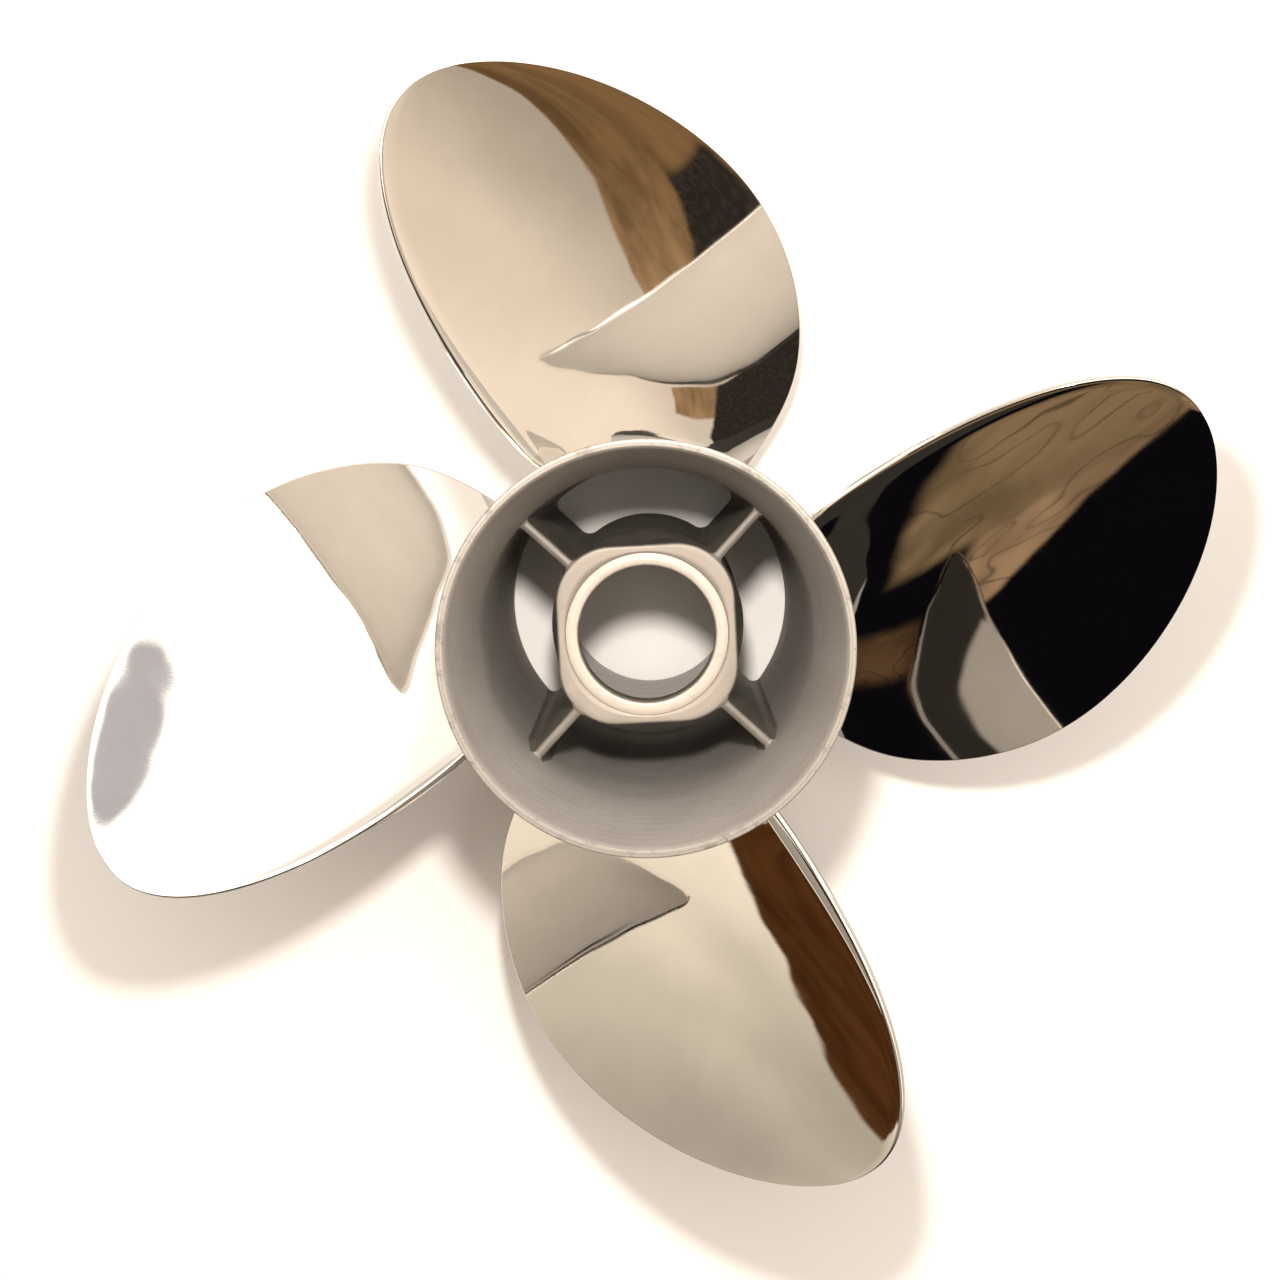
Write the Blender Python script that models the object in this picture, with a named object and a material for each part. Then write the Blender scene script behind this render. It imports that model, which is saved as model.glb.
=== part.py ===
"""Four-blade outboard propeller with its exhaust led out through the hub.

Frame: Z is the shaft axis and +Z points aft. The origin is on the axis, in the plane of the barrel's front edge, on
which the propeller stands. Everything is in metres. Blade 1 points along +Y, and the propeller is right-handed: seen
from aft, each blade's leading edge is its clockwise side.

Each piece is a closed object of its own. Pieces that touch keep GAP between their surfaces.
"""

import math

import bmesh
import bpy
import numpy as np

GAP = 0.0003
QUARTER = math.radians(90)

# Barrel: a tapered tube whose aft end flares into a thin rim.
BARREL_LENGTH = 0.1529
BARREL_FRONT_RADIUS = 0.0475
BARREL_WAIST_RADIUS = 0.0503  # outside, where the flare starts
RIM_RADIUS = 0.0563
RIM_WALL = 0.0022
RIM_BEVEL = 0.0004
FLARE_START = 0.1150
WALL_FRONT_RADIUS = 0.0438  # inside, at the front end of the ribs
WALL_WAIST_RADIUS = 0.0469  # inside, at the aft face of the hub
LIP_RADIUS = 0.0452  # inside of the front lip, which laps over the gearcase
LIP_DEPTH = 0.0060
BARREL_STEPS = 72

# Inner hub: a rounded square at its aft face, turning round towards the front.
HUB_FRONT = LIP_DEPTH
HUB_AFT = 0.1120
HUB_FLAT = 0.0254  # from the axis to the middle of a flat
HUB_CORNER = 0.0163  # radius of the square's corners
HUB_BODY_RADIUS = 0.0282
HUB_TURN = math.radians(3)  # the square's corners face the ribs
HUB_SQUARE_DEPTH = 0.010
HUB_BLEND_DEPTH = 0.022
HUB_BEVEL = 0.0005
BORE_FRONT_RADIUS = 0.0262
BORE_AFT_RADIUS = 0.0219
HUB_STEPS = 64

# Ring set into the hub's aft end, on which the nut's washer bears.
RING_RADIUS = 0.0228
RING_BORE_RADIUS = 0.0195
RING_LENGTH = 0.0100
RING_BEVEL = 0.0006

# Ribs between hub and barrel.
RIB_COUNT = 4
RIB_ANGLE = math.radians(48)
RIB_AFT_THICKNESS = 0.0029
RIB_FRONT_THICKNESS = 0.0046
RIB_FILLET = 0.0016

# Blades.
BLADE_COUNT = 4
TIP_RADIUS = 0.1650
PITCH = 0.3990  # axial travel of the face in one turn
ROOT_PITCH_LOSS = 0.0780
FACE_HEIGHT = 0.0620  # of the face on the barrel, at the blade's own centre line
RAKE = 0.0420  # how far the tip leans aft
HOLLOW = 0.0028  # depth of the face below its helix at mid chord
ROOT_TWIST = 0.0028  # how far the hollow is shifted towards the trailing edge at the root
ROOT_FILL = 0.0750  # fills the hollow's after part at the root
TIP_FADE = 0.0120  # distance from the tip over which the hollow and the cup run out
ROOT_RADIUS = 0.0489  # mean radius of the barrel under the blades
ROOT_BLEND = 0.0300  # height over which the sections stop following the barrel
ROOT_THICKNESS = 0.0110
TIP_THICKNESS = 0.0030
LEADING_THICKNESS = 0.0016
TRAILING_THICKNESS = 0.0024
CUP_WIDTH = 0.0040
CUP_HEIGHT = 0.0003
BLADE_FILLET = 0.0060
TIP_ROUNDING = 0.0010
# Control points of the blade's outline, seen from aft with the blade pointing up: from the trailing edge near the
# barrel, out round the tip, to the leading edge near the barrel.
OUTLINE = (
    (-0.030, 0.046),
    (-0.034, 0.048),
    (-0.068, 0.092),
    (-0.079, 0.155),
    (-0.021, 0.163),
    (0.036, 0.130),
    (0.050, 0.084),
    (0.044, 0.063),
    (0.033, 0.047),
)
BLADE_STATIONS = 18
CHORD_STEPS = 18
EDGE_STEPS = 3
ROOT_CAP_ROWS = 8


def remove_startup_objects():
    for obj in list(bpy.data.objects):
        bpy.data.objects.remove(obj, do_unlink=True)


def metal(name, color, roughness):
    """A bare metal finish: its colour and how polished it is."""
    material = bpy.data.materials.new(name)
    material.use_nodes = True
    shader = material.node_tree.nodes["Principled BSDF"]
    shader.inputs["Base Color"].default_value = (*color, 1.0)
    shader.inputs["Metallic"].default_value = 1.0
    shader.inputs["Roughness"].default_value = roughness
    return material


def add_object(name, points, faces, material, sharp_angle=35):
    """One closed piece from its points and faces, facing out and shaded smooth up to sharp_angle."""
    mesh = bpy.data.meshes.new(name)
    mesh.from_pydata([tuple(p) for p in points], [], faces)
    work = bmesh.new()
    work.from_mesh(mesh)
    bmesh.ops.recalc_face_normals(work, faces=work.faces)
    work.to_mesh(mesh)
    work.free()
    mesh.shade_smooth()
    mesh.set_sharp_from_angle(angle=math.radians(sharp_angle))
    mesh.materials.append(material)
    obj = bpy.data.objects.new(name, mesh)
    bpy.context.scene.collection.objects.link(obj)
    return obj


def bridge_loops(count, size, closed):
    """Quads between count loops of size points each; closed also joins the last loop to the first."""
    rows = count if closed else count - 1
    faces = []
    for row in range(rows):
        here = row * size
        there = ((row + 1) % count) * size
        for i in range(size):
            j = (i + 1) % size
            faces.append((here + i, here + j, there + j, there + i))
    return faces


def turned(name, profile, steps, material):
    """A ring turned about Z from a closed profile of (radius, height) points."""
    points = []
    for radius, height in profile:
        for step in range(steps):
            angle = 2 * math.pi * step / steps
            points.append((radius * math.cos(angle), radius * math.sin(angle), height))
    return add_object(name, points, bridge_loops(len(profile), steps, True), material)


def smooth_step(value):
    value = min(max(value, 0.0), 1.0)
    return value * value * (3 - 2 * value)


def barrel_radius(height):
    """Outside radius of the barrel: a slow taper, then the flare."""
    if height < FLARE_START:
        return BARREL_FRONT_RADIUS + (BARREL_WAIST_RADIUS - BARREL_FRONT_RADIUS) * height / FLARE_START
    slope = (BARREL_WAIST_RADIUS - BARREL_FRONT_RADIUS) / FLARE_START
    run = height - FLARE_START
    length = BARREL_LENGTH - FLARE_START
    bend = RIM_RADIUS - BARREL_WAIST_RADIUS - slope * length
    return BARREL_WAIST_RADIUS + slope * run + bend * (run / length) ** 1.5


def wall_radius(height):
    """Inside radius of the barrel behind its front lip."""
    if height < HUB_AFT:
        share = (height - LIP_DEPTH) / (HUB_AFT - LIP_DEPTH)
        return WALL_FRONT_RADIUS + (WALL_WAIST_RADIUS - WALL_FRONT_RADIUS) * share
    slope = (WALL_WAIST_RADIUS - WALL_FRONT_RADIUS) / (HUB_AFT - LIP_DEPTH)
    run = height - HUB_AFT
    length = BARREL_LENGTH - HUB_AFT
    bend = RIM_RADIUS - RIM_WALL - WALL_WAIST_RADIUS - slope * length
    return WALL_WAIST_RADIUS + slope * run + bend * (run / length) ** 1.3


def make_barrel(material):
    bevel = RIM_BEVEL
    outside = [(barrel_radius(h), h) for h in (BARREL_LENGTH - bevel, 0.147, 0.140, 0.132, 0.124)]
    outside += [(barrel_radius(h), h) for h in (FLARE_START, 0.075, 0.037, bevel)]
    front = [(BARREL_FRONT_RADIUS - bevel, 0.0), (LIP_RADIUS + bevel, 0.0), (LIP_RADIUS, bevel)]
    step = [(LIP_RADIUS, LIP_DEPTH), (WALL_FRONT_RADIUS, LIP_DEPTH)]
    inside = [(wall_radius(h), h) for h in (0.042, 0.078, HUB_AFT, 0.122, 0.131, 0.139, 0.146)]
    inside.append((wall_radius(BARREL_LENGTH - bevel), BARREL_LENGTH - bevel))
    rim = [(RIM_RADIUS - RIM_WALL + bevel, BARREL_LENGTH), (RIM_RADIUS - bevel, BARREL_LENGTH)]
    return turned("barrel", outside + front + step + inside + rim, BARREL_STEPS, material)


def rounded_square_radius(angle, flat, corner):
    """Distance from the centre to a rounded square's edge, at an angle from the middle of one of its flats."""
    angle = (angle + QUARTER / 2) % QUARTER - QUARTER / 2
    angle = abs(angle)
    if flat * math.tan(angle) <= flat - corner:
        return flat / math.cos(angle)
    reach = math.sqrt(2) * (flat - corner)
    turn = angle - QUARTER / 2
    return reach * math.cos(turn) + math.sqrt(corner**2 - (reach * math.sin(turn)) ** 2)


def hub_radius(angle, height):
    """Outside radius of the inner hub."""
    round_share = smooth_step((HUB_AFT - HUB_SQUARE_DEPTH - height) / HUB_BLEND_DEPTH)
    flat = HUB_FLAT + (HUB_BODY_RADIUS - HUB_FLAT) * round_share
    corner = HUB_CORNER + (HUB_BODY_RADIUS - HUB_CORNER) * round_share
    return rounded_square_radius(angle - HUB_TURN, flat, corner)


def make_hub(material):
    """The hub's outside from aft to front, then its stepped bore back to the aft face."""
    blend_end = HUB_AFT - HUB_SQUARE_DEPTH - HUB_BLEND_DEPTH
    blend_start = HUB_AFT - HUB_SQUARE_DEPTH
    heights = [HUB_AFT - HUB_BEVEL, blend_start]
    heights += [blend_start + (blend_end - blend_start) * share for share in (0.25, 0.5, 0.75, 1.0)]
    heights += [0.042, HUB_FRONT + HUB_BEVEL]
    rings = [lambda a, h=h: (hub_radius(a, h), h) for h in heights]
    rings.append(lambda a: (HUB_BODY_RADIUS - HUB_BEVEL, HUB_FRONT))
    shoulder = HUB_AFT - RING_LENGTH - GAP
    bore = [
        (BORE_FRONT_RADIUS + HUB_BEVEL, HUB_FRONT),
        (BORE_FRONT_RADIUS, HUB_FRONT + HUB_BEVEL),
        (BORE_FRONT_RADIUS, 0.030),
        (BORE_AFT_RADIUS, shoulder),
        (RING_RADIUS + GAP, shoulder),
        (RING_RADIUS + GAP, HUB_AFT),
    ]
    rings += [lambda a, r=r, h=h: (r, h) for r, h in bore]
    rings.append(lambda a: (hub_radius(a, HUB_AFT) - HUB_BEVEL, HUB_AFT))
    points = []
    for ring in rings:
        for step in range(HUB_STEPS):
            angle = 2 * math.pi * step / HUB_STEPS
            radius, height = ring(angle)
            points.append((radius * math.cos(angle), radius * math.sin(angle), height))
    return add_object("inner_hub", points, bridge_loops(len(rings), HUB_STEPS, True), material)


def make_nut_seat_ring(material):
    aft = HUB_AFT - GAP
    front = HUB_AFT - RING_LENGTH
    profile = [
        (RING_RADIUS, aft - RING_BEVEL / 2),
        (RING_RADIUS, front),
        (RING_BORE_RADIUS, front),
        (RING_BORE_RADIUS, aft - RING_BEVEL),
        (RING_BORE_RADIUS + RING_BEVEL, aft),
        (RING_RADIUS - RING_BEVEL / 2, aft),
    ]
    return turned("nut_seat_ring", profile, HUB_STEPS, material)


def fillet_height(distance, radius):
    """How far a fillet of that radius stands off a wall's corner at a distance from it."""
    if distance >= radius:
        return 0.0
    return radius - math.sqrt(radius**2 - (radius - distance) ** 2)


def make_rib(name, angle, material):
    """A spoke along +X turned to its angle: drafted, with fillets where it meets the hub and the barrel."""
    heights = [HUB_AFT - GAP, 0.102, 0.091, 0.080, 0.043, HUB_FRONT + GAP]
    offsets = [RIB_FILLET * share for share in (0.0, 0.25, 0.55, 1.0)]
    points = []
    for height in heights:
        draft = (HUB_AFT - height) / (HUB_AFT - HUB_FRONT)
        half = (RIB_AFT_THICKNESS + (RIB_FRONT_THICKNESS - RIB_AFT_THICKNESS) * draft) / 2
        widest = half + fillet_height(GAP, RIB_FILLET)
        inner = hub_radius(angle, height) + GAP
        outer = wall_radius(height)
        outer = math.sqrt((outer - GAP) ** 2 - widest**2)
        side = [(inner + o, half + fillet_height(o + GAP, RIB_FILLET)) for o in offsets]
        side += [(outer - o, half + fillet_height(o + GAP, RIB_FILLET)) for o in reversed(offsets)]
        loop = side + [(along, -across) for along, across in reversed(side)]
        for along, across in loop:
            x = along * math.cos(angle) - across * math.sin(angle)
            y = along * math.sin(angle) + across * math.cos(angle)
            points.append((x, y, height))
    size = 4 * len(offsets)
    faces = bridge_loops(len(heights), size, False)
    for first in (0, (len(heights) - 1) * size):
        for i in range(size // 2 - 1):
            faces.append((first + i, first + i + 1, first + size - 2 - i, first + size - 1 - i))
    return add_object(name, points, faces, material)


def spline_points(control, count):
    """Points on the clamped cubic B-spline of those control points."""
    control = np.array(control, float)
    degree = 3
    inner = np.linspace(0, 1, len(control) - degree + 1)
    knots = np.concatenate([[0.0] * degree, inner, [1.0] * degree])
    result = []
    for t in np.linspace(0, 1, count):
        span = min(int(np.searchsorted(knots, t, side="right")) - 1, len(control) - 1)
        work = [control[span - degree + i].copy() for i in range(degree + 1)]
        for level in range(1, degree + 1):
            for i in range(degree, level - 1, -1):
                low = knots[span - degree + i]
                share = (t - low) / (knots[i + 1 + span - level] - low)
                work[i] = (1 - share) * work[i - 1] + share * work[i]
        result.append(work[degree])
    return np.array(result)


def blade_edges():
    """Two functions of the radius: the angles of the leading and of the trailing edge, of a blade pointing along +Y."""
    outline = spline_points(OUTLINE, 1500)
    radii = np.hypot(outline[:, 0], outline[:, 1])
    radii *= TIP_RADIUS / radii.max()
    angles = np.arctan2(outline[:, 1], outline[:, 0])
    tip = int(radii.argmax())

    def leading(radius):
        return float(np.interp(radius, radii[tip:][::-1], angles[tip:][::-1]))

    def trailing(radius):
        return float(np.interp(radius, radii[: tip + 1], angles[: tip + 1]))

    return leading, trailing


def span_share(radius):
    """0 on the barrel, 1 at the tip."""
    return (radius - ROOT_RADIUS) / (TIP_RADIUS - ROOT_RADIUS)


def local_pitch(radius):
    return PITCH - ROOT_PITCH_LOSS * (1 - span_share(radius)) ** 4


def helix_slope(radius):
    return math.atan2(local_pitch(radius), 2 * math.pi * radius)


def helix_height(radius, angle):
    """Height of the helix through a section's two edges, leaning aft towards the tip."""
    return FACE_HEIGHT + local_pitch(radius) * (angle - QUARTER) / (2 * math.pi) + RAKE * span_share(radius)


def tip_fade(radius):
    """1 over most of the blade, 0 at the tip."""
    return 1 - math.exp(-(TIP_RADIUS - radius) / TIP_FADE)


def hollow(part, radius):
    """How far the face lies below its helix, at a part of the chord from the leading edge."""
    share = span_share(radius)
    fade = tip_fade(radius)
    twist = ROOT_TWIST * (1 - share)
    fill = ROOT_FILL * (1 - share) ** 4 * part**2
    depth = part * (1 - part) * (4 * HOLLOW - 10 * twist * (1 - 2 * part) - fill)
    return depth * fade + HOLLOW * (1 - fade) / 2


def section_loop(chord, radius):
    """One blade section as a closed loop of (along the chord, off the helix) points, from the leading edge along the
    face to the trailing edge and back along the forward side."""
    share = min(max(span_share(radius), 0.0), 1.0)
    fullest = ROOT_THICKNESS + (TIP_THICKNESS - ROOT_THICKNESS) * share**0.8
    closing = max(radius - (TIP_RADIUS - TIP_ROUNDING), 0.0) / TIP_ROUNDING
    closing = math.sqrt(max(1 - closing**2, 0.0))

    def thickness(part):
        edge = LEADING_THICKNESS + (TRAILING_THICKNESS - LEADING_THICKNESS) * part
        return closing * (edge + (fullest - edge) * (4 * part * (1 - part)) ** 0.9)

    def face_offset(part):
        width = min(CUP_WIDTH, chord / 2)
        cup = CUP_HEIGHT * tip_fade(radius) * max(1 - (1 - part) * chord / width, 0.0) ** 2
        return cup - hollow(part, radius) * math.cos(helix_slope(radius))

    lead = thickness(0.0) / 2
    trail = thickness(1.0) / 2
    parts = [(1 - math.cos(math.pi * i / CHORD_STEPS)) / 2 for i in range(CHORD_STEPS + 1)]
    face = [(lead + (chord - lead - trail) * p, face_offset(p)) for p in parts]
    back = [(x, y - thickness(p)) for (x, y), p in zip(face, parts)]
    turns = [math.pi * (i + 1) / (EDGE_STEPS + 1) for i in range(EDGE_STEPS)]
    trailing = [
        (face[-1][0] + trail * math.sin(t), face[-1][1] - trail + trail * math.cos(t)) for t in turns
    ]
    leading = [(face[0][0] - lead * math.sin(t), face[0][1] - lead - lead * math.cos(t)) for t in turns]
    return face + trailing + back[::-1] + leading


def grown(loop, amount):
    """The loop moved outwards along its own normals."""
    loop = np.array(loop)
    along = np.roll(loop, -1, axis=0) - np.roll(loop, 1, axis=0)
    length = np.linalg.norm(along, axis=1)
    out = np.stack([-along[:, 1], along[:, 0]], axis=1) / length[:, None]
    return loop + amount * out


def on_barrel_share(radius):
    return 1 - smooth_step((radius - ROOT_RADIUS) / ROOT_BLEND)


def placed(loop, radius, leading):
    """A section loop wrapped on its cylinder, as angles, heights and radii."""
    slope = helix_slope(radius)
    start = helix_height(radius, leading)
    result = []
    for along, off in loop:
        angle = leading + (along * math.cos(slope) - off * math.sin(slope)) / radius
        height = start + along * math.sin(slope) + off * math.cos(slope)
        reach = radius + (barrel_radius(height) - ROOT_RADIUS) * on_barrel_share(radius)
        result.append((angle, height, reach))
    return result


def blade_radii():
    """Close together in the root fillet and towards the tip."""
    first = ROOT_RADIUS + GAP
    radii = [first, first + 0.0010, first + 0.0028]
    start = ROOT_RADIUS + BLADE_FILLET
    end = TIP_RADIUS - TIP_ROUNDING
    radii += [start + (end - start) * math.sin(QUARTER * i / BLADE_STATIONS) for i in range(BLADE_STATIONS + 1)]
    radii += [TIP_RADIUS - TIP_ROUNDING * share for share in (0.45, 0.12)]
    return radii


def make_blade(name, turn, material):
    leading, trailing = blade_edges()
    wrapped = []
    for radius in blade_radii():
        chord = (trailing(radius) - leading(radius)) * radius / math.cos(helix_slope(radius))
        growth = fillet_height(radius - ROOT_RADIUS, BLADE_FILLET)
        loop = grown(section_loop(chord, radius), growth)
        wrapped.append(placed(loop, radius, leading(radius)))
    size = len(wrapped[0])
    rows = list(wrapped)
    faces = bridge_loops(len(rows), size, False)
    points = [point for row in rows for point in row]

    # The tip: one point on the outline's largest radius.
    last = (len(rows) - 1) * size
    points.append((sum(p[0] for p in rows[-1]) / size, sum(p[1] for p in rows[-1]) / size, TIP_RADIUS))
    for i in range(size):
        faces.append((last + i, last + (i + 1) % size, len(points) - 1))

    # The root: rows across the thickness that keep to the barrel's curve. Each starts at the middle of the leading
    # edge, ends at the middle of the trailing edge, and pairs a face point with the one behind it.
    start = size - EDGE_STEPS // 2 - 1
    near = [(start + i) % size for i in range(size // 2 + 1)]
    far = [(start - i) % size for i in range(size // 2 + 1)]
    columns = [near]
    for row in range(1, ROOT_CAP_ROWS):
        share = row / ROOT_CAP_ROWS
        column = [near[0]]
        for a, b in zip(near[1:-1], far[1:-1]):
            angle = points[a][0] + (points[b][0] - points[a][0]) * share
            height = points[a][1] + (points[b][1] - points[a][1]) * share
            column.append(len(points))
            points.append((angle, height, barrel_radius(height) + GAP))
        column.append(near[-1])
        columns.append(column)
    columns.append(far)
    for first, second in zip(columns, columns[1:]):
        for i in range(len(near) - 1):
            corners = (first[i], first[i + 1], second[i + 1], second[i])
            faces.append(tuple(dict.fromkeys(corners)))

    placed_points = [(r * math.cos(a + turn), r * math.sin(a + turn), z) for a, z, r in points]
    return add_object(name, placed_points, faces, material, sharp_angle=60)


def main():
    remove_startup_objects()
    polished = metal("polished_stainless", (0.80, 0.76, 0.70), 0.06)
    blasted = metal("blasted_stainless", (0.45, 0.42, 0.39), 0.55)
    cast = metal("cast_hub_stainless", (0.62, 0.57, 0.51), 0.50)
    machined = metal("machined_stainless", (0.70, 0.67, 0.62), 0.32)
    ribbed = metal("cast_rib_stainless", (0.58, 0.54, 0.48), 0.50)
    make_barrel(blasted)
    make_hub(cast)
    make_nut_seat_ring(machined)
    for i in range(RIB_COUNT):
        make_rib(f"rib_{i + 1}", RIB_ANGLE + i * 2 * math.pi / RIB_COUNT, ribbed)
    for i in range(BLADE_COUNT):
        make_blade(f"blade_{i + 1}", i * 2 * math.pi / BLADE_COUNT, polished)


main()
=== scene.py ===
"""Looks of the four-blade outboard propeller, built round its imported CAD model.

Metres, in the CAD frame: Z is the shaft axis, +Z points aft, and the propeller stands on its barrel's front
edge at z = 0. Angles go from +X towards +Y, and the first blade points along +Y.
"""

import math
from typing import NamedTuple

import bmesh
import bpy
import numpy as np
from mathutils import Matrix, Vector


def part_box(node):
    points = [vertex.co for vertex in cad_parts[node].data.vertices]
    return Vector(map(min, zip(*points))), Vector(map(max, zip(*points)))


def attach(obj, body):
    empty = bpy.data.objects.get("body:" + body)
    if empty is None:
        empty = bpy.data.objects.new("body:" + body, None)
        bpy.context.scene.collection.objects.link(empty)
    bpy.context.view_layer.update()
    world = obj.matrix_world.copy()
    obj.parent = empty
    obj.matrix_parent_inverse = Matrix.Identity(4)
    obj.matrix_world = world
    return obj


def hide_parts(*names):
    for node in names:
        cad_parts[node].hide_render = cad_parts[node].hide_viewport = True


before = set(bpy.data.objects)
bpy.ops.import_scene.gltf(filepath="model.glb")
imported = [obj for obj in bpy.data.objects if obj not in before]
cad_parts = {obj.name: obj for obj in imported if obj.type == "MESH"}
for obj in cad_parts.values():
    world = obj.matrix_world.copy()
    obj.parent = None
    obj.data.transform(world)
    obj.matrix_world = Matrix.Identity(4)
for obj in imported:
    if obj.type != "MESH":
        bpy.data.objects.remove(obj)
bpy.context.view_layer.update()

QUARTER = math.radians(90)

# Places read from the frame.
BARREL_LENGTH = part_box("barrel")[1].z
RIM_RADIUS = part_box("barrel")[1].x
HUB_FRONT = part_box("inner_hub")[0].z
HUB_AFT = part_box("inner_hub")[1].z
HUB_BODY_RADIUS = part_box("inner_hub")[1].x
RING_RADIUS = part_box("nut_seat_ring")[1].x
RING_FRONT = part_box("nut_seat_ring")[0].z
RING_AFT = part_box("nut_seat_ring")[1].z

# Barrel: its outside flares from FLARE_START aft, and its inside from the hub's aft face.
BARREL_FRONT_RADIUS = 0.0475
BARREL_WAIST_RADIUS = 0.0503
OUTSIDE_FLARE_POWER = 1.5
RIM_WALL = 0.0022
BARREL_BEVEL = 0.0004
FLARE_START = 0.1150
WALL_FRONT_RADIUS = 0.0438
WALL_WAIST_RADIUS = 0.0469
INSIDE_FLARE_POWER = 1.3
LIP_RADIUS = 0.0452
BARREL_STEPS = 288
OUTSIDE_ROWS = 24
INSIDE_ROWS = 56

# How far ribs and blades reach into the pieces they grow from.
SUNK = 0.0004

# Inner hub and its ring. The hub is a rounded square at its aft end and blends into a round body.
HUB_FLAT = 0.0254
HUB_CORNER = 0.0163
HUB_TURN = math.radians(3)
HUB_SQUARE_DEPTH = 0.010
HUB_BLEND_DEPTH = 0.022
HUB_BEVEL = 0.0006
HUB_FIRST_ROW_DEPTH = 0.004
HUB_ROWS = 44
BORE_FRONT_RADIUS = 0.0262
BORE_AFT_RADIUS = 0.0219
BORE_TAPER_START = 0.030
BORE_ROWS = 20
FACE_ROW_SHARES = (0.35, 0.7)
RING_BORE_RADIUS = 0.0195
RING_BEVEL = 0.0006
RING_GAP = 0.0003
SEAM_BEVEL = 0.0001
HUB_STEPS = 240

# Ribs: thicker towards the front, with fillets that are smaller at the aft end.
RIB_COUNT = 4
RIB_ANGLE = math.radians(48)
RIB_AFT_THICKNESS = 0.0029
RIB_FRONT_THICKNESS = 0.0046
RIB_BEVEL = 0.0004
RIB_BEVEL_DEPTH = 0.0008
RIB_BEVEL_ROWS = (0.0, 0.0003, RIB_BEVEL_DEPTH)
RIB_FIRST_ROW_DEPTH = 0.0016
RIB_FRONT_GAP = 0.001
RIB_ROWS = 40
RIB_FILLET = 0.0030
RIB_AFT_FILLET_SHARE = 0.35
RIB_FILLET_BLEND_DEPTH = 0.012
RIB_FILLET_STEPS = 8

# Blades: a helical face, raked aft, of the same outline and sections as the CAD blades. OUTLINE holds the
# control points of the spline round the first blade, as seen along the shaft.
BLADE_COUNT = 4
TIP_RADIUS = 0.1650
PITCH = 0.3990
ROOT_PITCH_LOSS = 0.0780
FACE_HEIGHT = 0.0620
RAKE = 0.0420
HOLLOW = 0.0028
ROOT_TWIST = 0.0028
ROOT_FILL = 0.0750
TIP_FADE = 0.0120
ROOT_RADIUS = 0.0489
ROOT_BLEND = 0.0300
ROOT_THICKNESS = 0.0110
TIP_THICKNESS = 0.0030
THICKNESS_FALL_POWER = 0.8
SECTION_POWER = 0.9
LEADING_THICKNESS = 0.0016
TRAILING_THICKNESS = 0.0024
TRAILING_SQUARENESS = 0.45
CUP_WIDTH = 0.0040
CUP_HEIGHT = 0.0003
BLADE_FILLET = 0.0060
TIP_ROUNDING = 0.0010
OUTLINE = (
    (-0.030, 0.046),
    (-0.034, 0.048),
    (-0.068, 0.092),
    (-0.079, 0.155),
    (-0.021, 0.163),
    (0.036, 0.130),
    (0.050, 0.084),
    (0.044, 0.063),
    (0.033, 0.047),
)
OUTLINE_SAMPLES = 6000
BLADE_STATIONS = 84
CHORD_STEPS = 84
EDGE_STEPS = 9
FILLET_STEPS = 12
TIP_STEPS = 8
ROOT_CAP_ROWS = 8


def smooth_step(value):
    value = np.clip(value, 0.0, 1.0)
    return value * value * (3 - 2 * value)


def add_piece(name, points, faces, materials, node, indices=None):
    """A smooth closed mesh object that rides on the propeller and replaces a CAD node, which it hides."""
    mesh = bpy.data.meshes.new(name)
    mesh.from_pydata(np.asarray(points).tolist(), [], faces)
    if indices is not None:
        mesh.polygons.foreach_set("material_index", indices)
    work = bmesh.new()
    work.from_mesh(mesh)
    bmesh.ops.recalc_face_normals(work, faces=work.faces)
    work.to_mesh(mesh)
    work.free()
    mesh.shade_smooth()
    for material in materials:
        mesh.materials.append(material)
    piece = bpy.data.objects.new(name, mesh)
    bpy.context.scene.collection.objects.link(piece)
    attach(piece, "root")
    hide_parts(node)
    return piece


def bridge_loops(count, size, closed):
    rows = count if closed else count - 1
    faces = []
    for row in range(rows):
        here = row * size
        there = ((row + 1) % count) * size
        for i in range(size):
            j = (i + 1) % size
            faces.append((here + i, here + j, there + j, there + i))
    return faces


# ---------------------------------------------------------------- barrel


def barrel_radius(height):
    """Outside radius of the barrel."""
    height = np.asarray(height, float)
    slope = (BARREL_WAIST_RADIUS - BARREL_FRONT_RADIUS) / FLARE_START
    length = BARREL_LENGTH - FLARE_START
    bend = RIM_RADIUS - BARREL_WAIST_RADIUS - slope * length
    share = np.clip((height - FLARE_START) / length, 0.0, 1.0)
    return BARREL_FRONT_RADIUS + slope * height + bend * share**OUTSIDE_FLARE_POWER


def wall_radius(height):
    """Inside radius of the barrel behind its front lip."""
    height = np.asarray(height, float)
    slope = (WALL_WAIST_RADIUS - WALL_FRONT_RADIUS) / (HUB_AFT - HUB_FRONT)
    length = BARREL_LENGTH - HUB_AFT
    bend = RIM_RADIUS - RIM_WALL - WALL_WAIST_RADIUS - slope * length
    share = np.clip((height - HUB_AFT) / length, 0.0, 1.0)
    return WALL_FRONT_RADIUS + slope * (height - HUB_FRONT) + bend * share**INSIDE_FLARE_POWER


def arc(centre, radius, start, end, steps):
    """Points of (radius, height) on an arc. start and end are in degrees."""
    angles = np.radians(np.linspace(start, end, steps + 1))
    return [(centre[0] + radius * math.cos(a), centre[1] + radius * math.sin(a)) for a in angles]


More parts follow.
